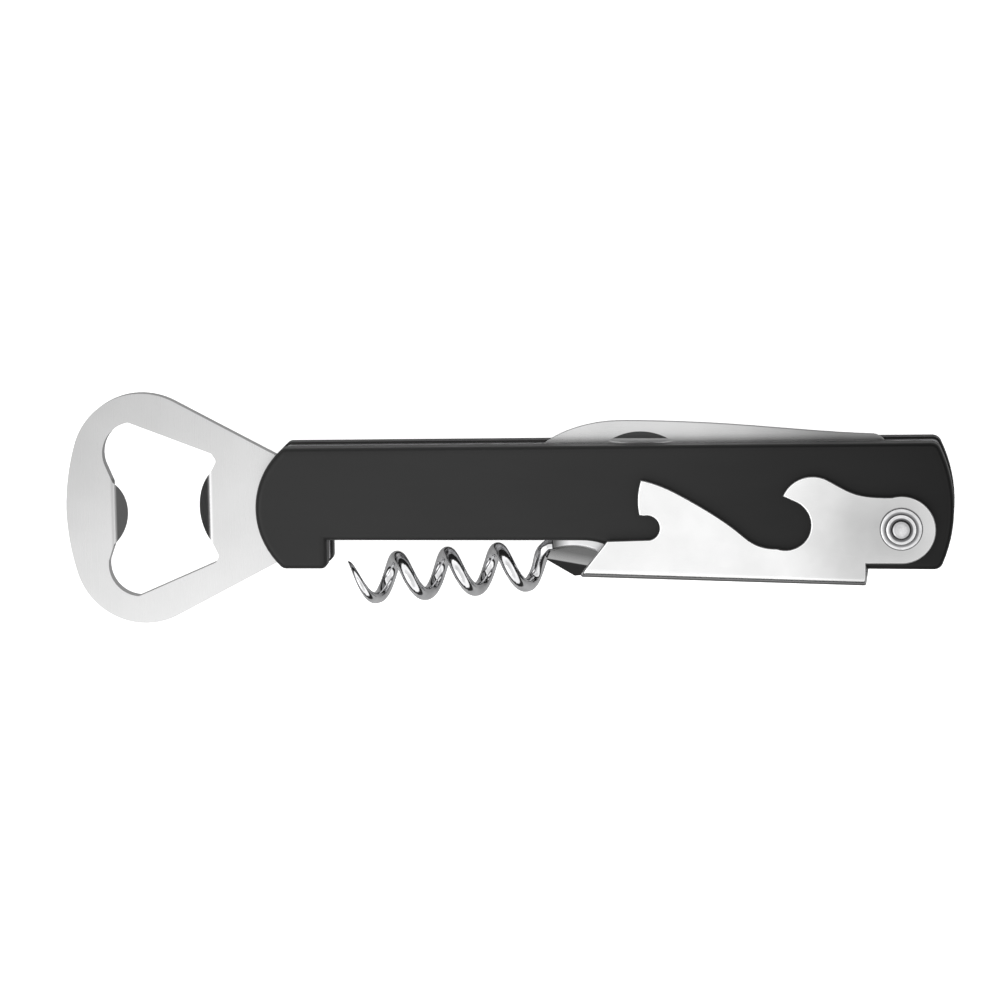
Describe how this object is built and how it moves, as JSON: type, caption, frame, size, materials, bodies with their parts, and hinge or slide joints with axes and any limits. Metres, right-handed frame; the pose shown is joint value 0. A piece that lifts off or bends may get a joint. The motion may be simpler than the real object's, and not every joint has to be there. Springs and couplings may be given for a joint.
{
  "type": "waiters corkscrew",
  "caption": "Folding waiters corkscrew: bottle-opener head, black handle, folded knife and worm, and a two-notch lever that straddles the handle on a rivet.",
  "frame": {"origin": "middle of the bottom of the whole object's box, lying on its rear side", "axes": "+X from the opener head to the lever rivet, +Y towards the side that the knife folds into, +Z from the rear scale to the front scale"},
  "size_m": [0.1436, 0.0376, 0.0172],
  "materials": {
    "black_plastic": "satin moulded",
    "liner_steel": "satin",
    "satin_steel": "satin",
    "blade_steel": "brushed along the blade",
    "brass_washer": "plain",
    "polished_steel": "polished",
    "hub_steel": "satin",
    "lever_steel": "bright satin plated",
    "rivet_steel": "polished"
  },
  "bodies": {
    "handle": {"front_scale": "black_plastic", "rear_scale": "black_plastic", "front_liner": "liner_steel", "rear_liner": "liner_steel", "opener_head": "satin_steel", "opener_rivets": "liner_steel", "back_spring_pins": "liner_steel", "back_spring": "liner_steel", "knife_pivot_pin": "liner_steel", "knife_washer_front": "brass_washer", "knife_washer_rear": "brass_washer", "worm_pivot_pin": "liner_steel", "lever_pin": "rivet_steel", "lever_washer_front": "rivet_steel", "lever_washer_rear": "rivet_steel", "lever_bush": "liner_steel"},
    "knife": {"knife_blade": "blade_steel"},
    "worm": {"worm": "polished_steel", "worm_hub": "hub_steel"},
    "lever": {"lever": "lever_steel"}
  },
  "joints": [
    {"name": "lever_swing", "type": "hinge", "parent": "handle", "child": "lever", "pos_m": [0.0635, -0.0023, 0.0086], "axis": [0, 0, 1], "range_deg": [0, 130]},
    {"name": "knife_fold", "type": "hinge", "parent": "handle", "child": "knife", "pos_m": [0.0634, 0.0063, 0.0086], "axis": [0, 0, -1], "range_deg": [0, 180]},
    {"name": "worm_fold", "type": "hinge", "parent": "handle", "child": "worm", "pos_m": [0.0187, -0.0067, 0.0086], "axis": [0, 0, 1], "range_deg": [0, 85]}
  ]
}
